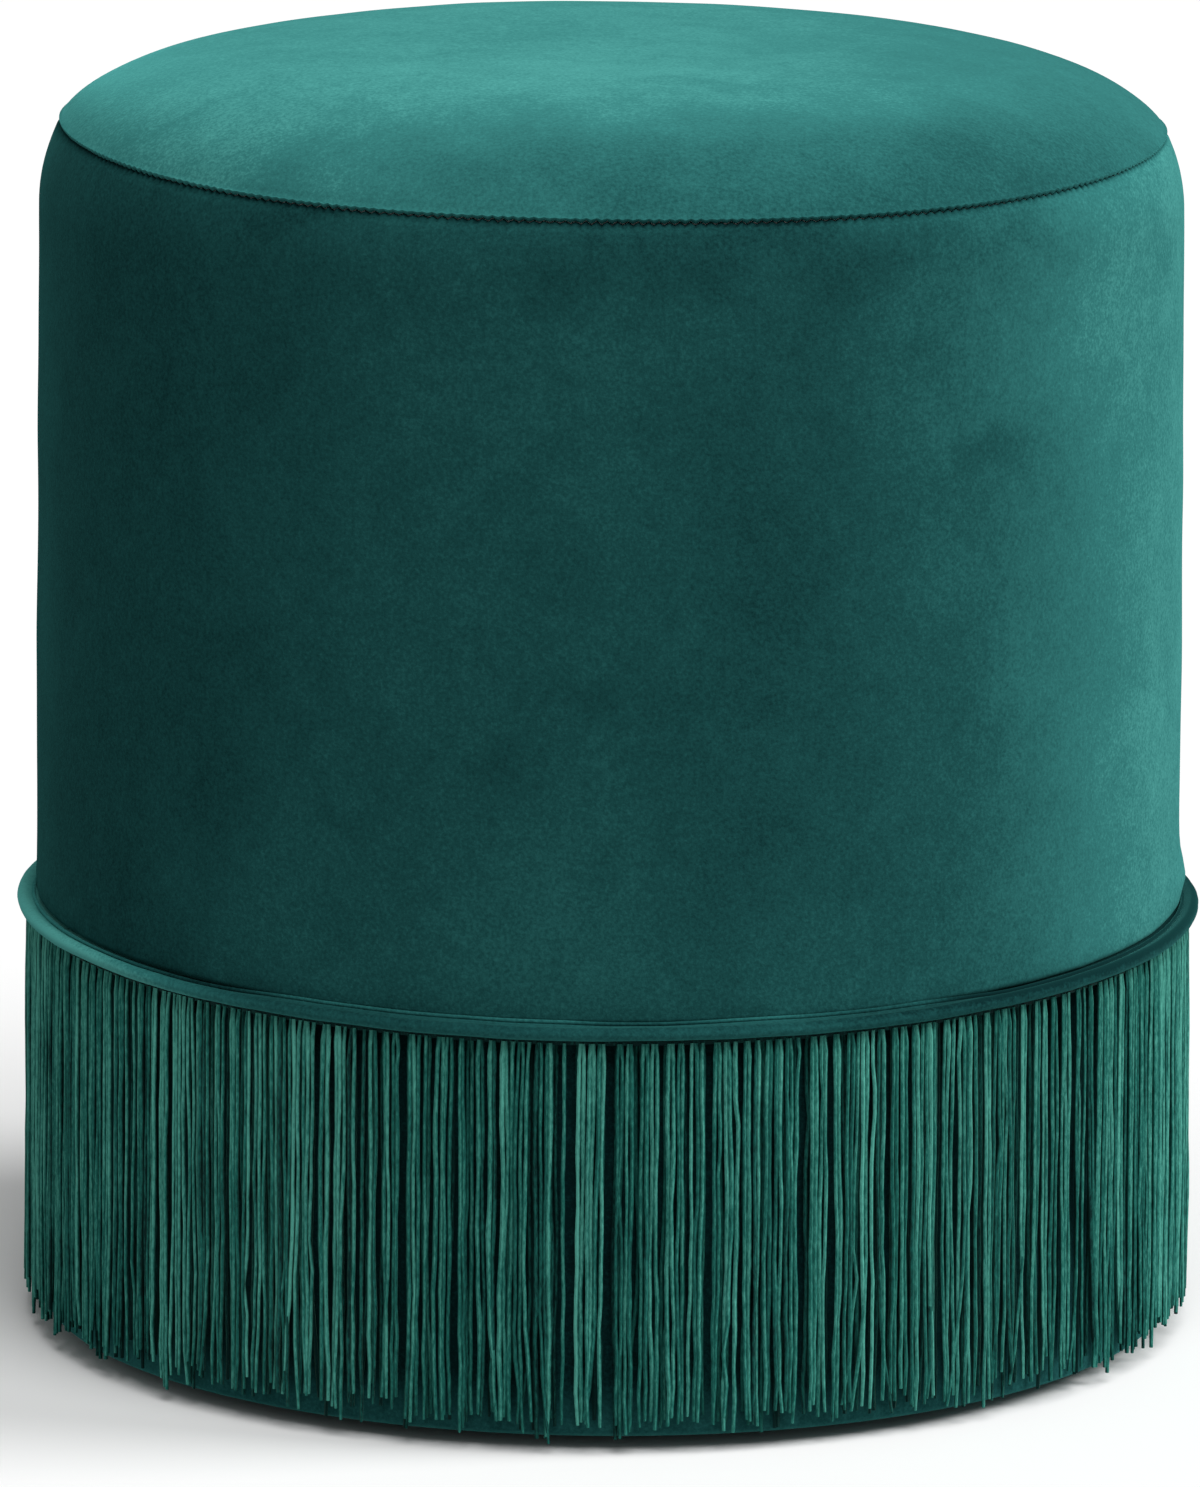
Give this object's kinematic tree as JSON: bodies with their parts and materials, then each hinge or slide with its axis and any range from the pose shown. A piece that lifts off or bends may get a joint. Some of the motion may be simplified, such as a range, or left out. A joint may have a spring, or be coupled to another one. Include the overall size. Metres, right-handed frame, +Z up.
{
  "type": "tuffet",
  "caption": "Round upholstered velvet tuffet with a domed seat, a corded welt and a skirt of hanging fringe over its base.",
  "frame": {"origin": "on the floor, at the middle of the drum's foot", "axes": "+Z up along the drum's axis, -Y towards the front, +X to the right when seen from the front"},
  "size_m": [0.3642, 0.3642, 0.3952],
  "materials": {
    "velvet": "deep teal cotton velvet with a short, brushed pile",
    "fringe": "green rayon cord fringe, slightly glossy",
    "black_cloth": "black non-woven base cloth",
    "foam": "cream polyurethane foam, open cells",
    "wadding": "white polyester wadding",
    "cotton": "natural cotton piping cord",
    "fibreboard": "raw medium density fibreboard",
    "hardboard": "raw hardboard, smooth on one side",
    "pine": "sawn pine",
    "steel": "zinc plated",
    "black_plastic": "moulded black polyethylene"
  },
  "bodies": {
    "root": {"top_board": "fibreboard", "base_ring": "fibreboard", "wall_wrap": "hardboard", "side_foam": "foam", "seat_foam": "foam", "seat_wadding": "wadding", "top_cover": "velvet", "side_cover": "velvet", "lower_band": "velvet", "welt_cord": "cotton", "welt_cover": "velvet", "dust_cover": "black_cloth", "post_front": "pine", "post_right": "pine", "post_back": "pine", "post_left": "pine", "fringe_front": "fringe", "fringe_right": "fringe", "fringe_back": "fringe", "fringe_left": "fringe", "top_screw_front": "steel", "top_screw_right": "steel", "top_screw_back": "steel", "top_screw_left": "steel", "base_screw_front": "steel", "base_screw_right": "steel", "base_screw_back": "steel", "base_screw_left": "steel", "glide_front_right": "black_plastic", "glide_back_right": "black_plastic", "glide_back_left": "black_plastic", "glide_front_left": "black_plastic", "glide_nail_front_right": "steel", "glide_nail_back_right": "steel", "glide_nail_back_left": "steel", "glide_nail_front_left": "steel"}
  },
  "joints": []
}
